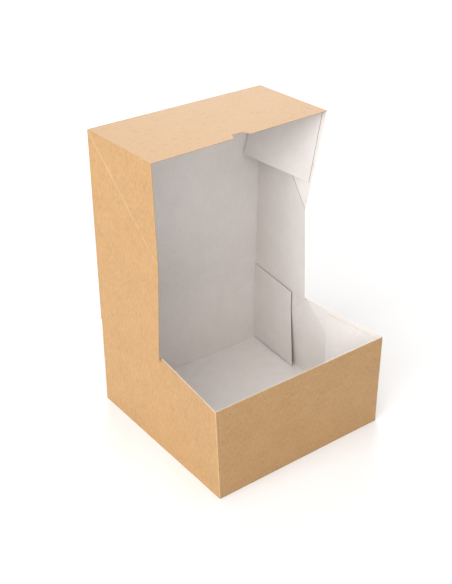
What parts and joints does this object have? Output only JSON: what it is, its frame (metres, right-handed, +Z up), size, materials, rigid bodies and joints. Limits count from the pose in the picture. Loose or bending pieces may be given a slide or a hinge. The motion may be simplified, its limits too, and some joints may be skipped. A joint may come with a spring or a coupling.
{
  "type": "cake box",
  "caption": "Square folded card cake box, kraft outside and white inside, with a hinged full-depth lid that closes over the tray.",
  "frame": {"origin": "middle of the underside of the box, on the table", "axes": "+Z up, the tray's front wall faces -Y, the lid's crease runs along X at the top of the back wall, and the lid stands open along +Z"},
  "size_m": [0.203, 0.2, 0.3031],
  "materials": {
    "tray_card": "matte kraft outside, white inside",
    "lid_card": "matte kraft outside, white inside"
  },
  "bodies": {
    "tray": {"tray": "tray_card"},
    "lid": {"lid": "lid_card"}
  },
  "joints": [
    {"name": "lid_hinge", "type": "hinge", "parent": "tray", "child": "lid", "pos_m": [0, 0.0997, 0.10255], "axis": [1, 0, 0], "range_deg": [-90, 90]}
  ]
}
